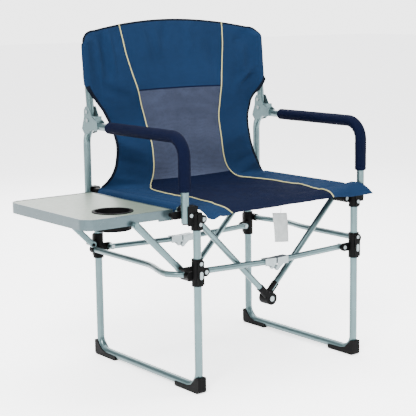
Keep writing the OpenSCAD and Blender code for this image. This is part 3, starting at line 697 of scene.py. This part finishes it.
# ---------- armrest sleeves ----------
def arm_sleeve(sgn):
    x = POST_X * sgn
    front_y, top_h, bend_r = -209, 604, 46      # the armrest tube's front, top and bend
    low_end, back_end = 480, 105                # where the foam ends on it
    outer, end_outer, end_len = 14.5, 11.2, 5   # the foam's radius, and its rounded ends
    flat = back_end - (front_y + bend_r)
    arc = bend_r * math.pi / 2
    whole = flat + arc + (top_h - bend_r - low_end)

    def path(s):
        if s < flat:
            return (x, back_end - s, top_h), (1, 0, 0), (0, 0, 1)
        if s < flat + arc:
            a = (s - flat) / bend_r
            y = front_y + bend_r - bend_r * math.sin(a)
            z = top_h - bend_r + bend_r * math.cos(a)
            return (x, y, z), (1, 0, 0), (0, -math.sin(a), math.cos(a))
        return (x, front_y, top_h - bend_r - (s - flat - arc)), (1, 0, 0), (0, -1, 0)

    def radius(a, s):
        v = outer + 0.35 * noise.noise(
            Vector((s / 34, math.cos(a) * 1.4, math.sin(a) * 1.4 + sgn * 5)))
        v -= 0.55 * math.exp(-((a - 1.5 * math.pi) / 0.16) ** 2)    # seam under the sleeve
        # creases inside the bend
        bend = (smooth(flat - 14, flat + 12, s)
                * (1 - smooth(flat + arc - 12, flat + arc + 14, s)))
        v += bend * 0.55 * math.sin(s / 2.3) * smooth(-0.1, -1, math.sin(a))
        end = min(s, whole - s)
        if end < end_len:
            v -= (outer - end_outer) * (1 - dome(1 - end / end_len))
        if 9 < end < 12:
            v -= 0.5 * math.sin((end - 9) / 3 * math.pi)            # hem stitch
        return v

    steps = [0, 0.4, 1, 2, 3.5, 5, 7, 9, 9.8, 10.5, 11.2, 12, 14]
    body = [14 + (whole - 28) * k / 200 for k in range(1, 200)]
    skin = steps + body + [whole - s for s in reversed(steps)]
    bore = [whole - 3 - (whole - 6) * k / 60 for k in range(61)]
    rings = [(s, radius) for s in skin] + [(s, TUBE_BORE) for s in (whole, *bore, 0)]
    side_name = "left" if sgn < 0 else "right"
    pad = tube_skin(side_name + "_arm_sleeve", path, rings, mats["foam"], 28)
    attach(pad, side_name + "_frame")
    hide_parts(side_name + "_arm_pad")


arm_sleeve(-1)
arm_sleeve(1)


# ---------- paper tag under the seat's front edge ----------
def tag_sheet():
    """A curled sheet with a little thickness."""
    nx, nz = 12, 20
    width, height, paper = 46, 72, 0.5
    verts, faces = [], []
    for layer in (0, 1):
        for i in range(nz + 1):
            for j in range(nx + 1):
                u, v = j / nx - 0.5, i / nz
                x = 4 + width * u + 5 * (v - 0.5)
                y = (-214 - 2.6 * math.sin(v * 2.4) + 3.5 * u * v - 1.4 * math.cos(u * 3)
                     + paper * layer)
                z = 401 - height * v - 5 * u
                verts.append(at(x, y, z))
    row = nx + 1
    n = row * (nz + 1)
    for i in range(nz):
        for j in range(nx):
            a = i * row + j
            q = (a, a + row, a + row + 1, a + 1)
            faces += [q, tuple(n + v for v in reversed(q))]
    rim = list(range(row)) + [i * row + nx for i in range(1, nz + 1)]
    rim += [nz * row + j for j in range(nx - 1, -1, -1)] + [i * row for i in range(nz - 1, 0, -1)]
    for a, b in zip(rim, rim[1:] + rim[:1]):
        faces.append((a, b, b + n, a + n))
    paper_look = paper_material("tag_paper", (0.21, 0.225, 0.225), (0.26, 0.275, 0.275))
    return add_mesh("paper_tag", verts, faces, [paper_look])


def tag_loop():
    """The thread that holds the tag on the seat's edge."""
    length, rise, thread = 30, 26, 0.6

    def path(s):
        v = s / length
        p = 3 + 1.5 * math.sin(v * 3.1), -214.5 - 1.5 * math.sin(v * 2.6), 397 + rise * v
        return p, (1, 0, 0), (0, 1, 0)

    rings = [(length * k / 12, thread) for k in range(13)]
    rings = [(0, 0.02)] + rings + [(length, 0.02)]
    nylon = thread_material("tag_loop", (0.30, 0.31, 0.31), (0.38, 0.39, 0.39))
    return tube_skin("tag_loop", path, rings, nylon, 8)


for o in (tag_sheet(), tag_loop()):
    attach(o, "left_frame")
    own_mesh(o)


# ---------- cloth sleeves that stay round on the posts and the rails ----------
def cloth_tube(name, body, path, ends, outer, bore, cap):
    """A sleeve on a tube, inside the sling's own wrap; with a cap it closes over the tube's end."""
    low, high = ends
    rings = [(low, bore), (low, outer - 0.4), (low + 1, outer)]
    for k in range(1, 24):
        taper = smooth(16, 24, k) if cap else 0.0
        rings.append((low + (high - low) * k / 24, outer - taper))
    if cap:
        rings += [(high + 1, outer - 1.1), (high + 2.4, outer - 2.4), (high + 3, outer - 5),
                  (high + 3.2, 0.02), (high + 0.8, 0.02), (high + 0.8, bore)]
    else:
        rings += [(high - 1, outer), (high, outer - 0.4), (high, bore)]
    obj = tube_skin(name, path, rings, mats["cloth"], 24)
    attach(obj, body)


def sleeves(sgn):
    hand = "left" if sgn < 0 else "right"
    lean = math.radians(LEAN)

    def post(s):
        p = POST_X * sgn, PIVOT_Y + s * math.sin(lean), PIVOT_H + s * math.cos(lean)
        return p, (1, 0, 0), (0, -math.cos(lean), math.sin(lean))

    def rail(s):
        return (RAIL_X * sgn, s, RAIL_H), (1, 0, 0), (0, 0, 1)

    cloth_tube(hand + "_post_sleeve", "backrest_" + hand, post, (66, 166), 11.0, TUBE_BORE, True)
    cloth_tube(hand + "_rail_sleeve", hand + "_frame", rail, (-158, 138), 10.8, RAIL_BORE, False)


sleeves(-1)
sleeves(1)
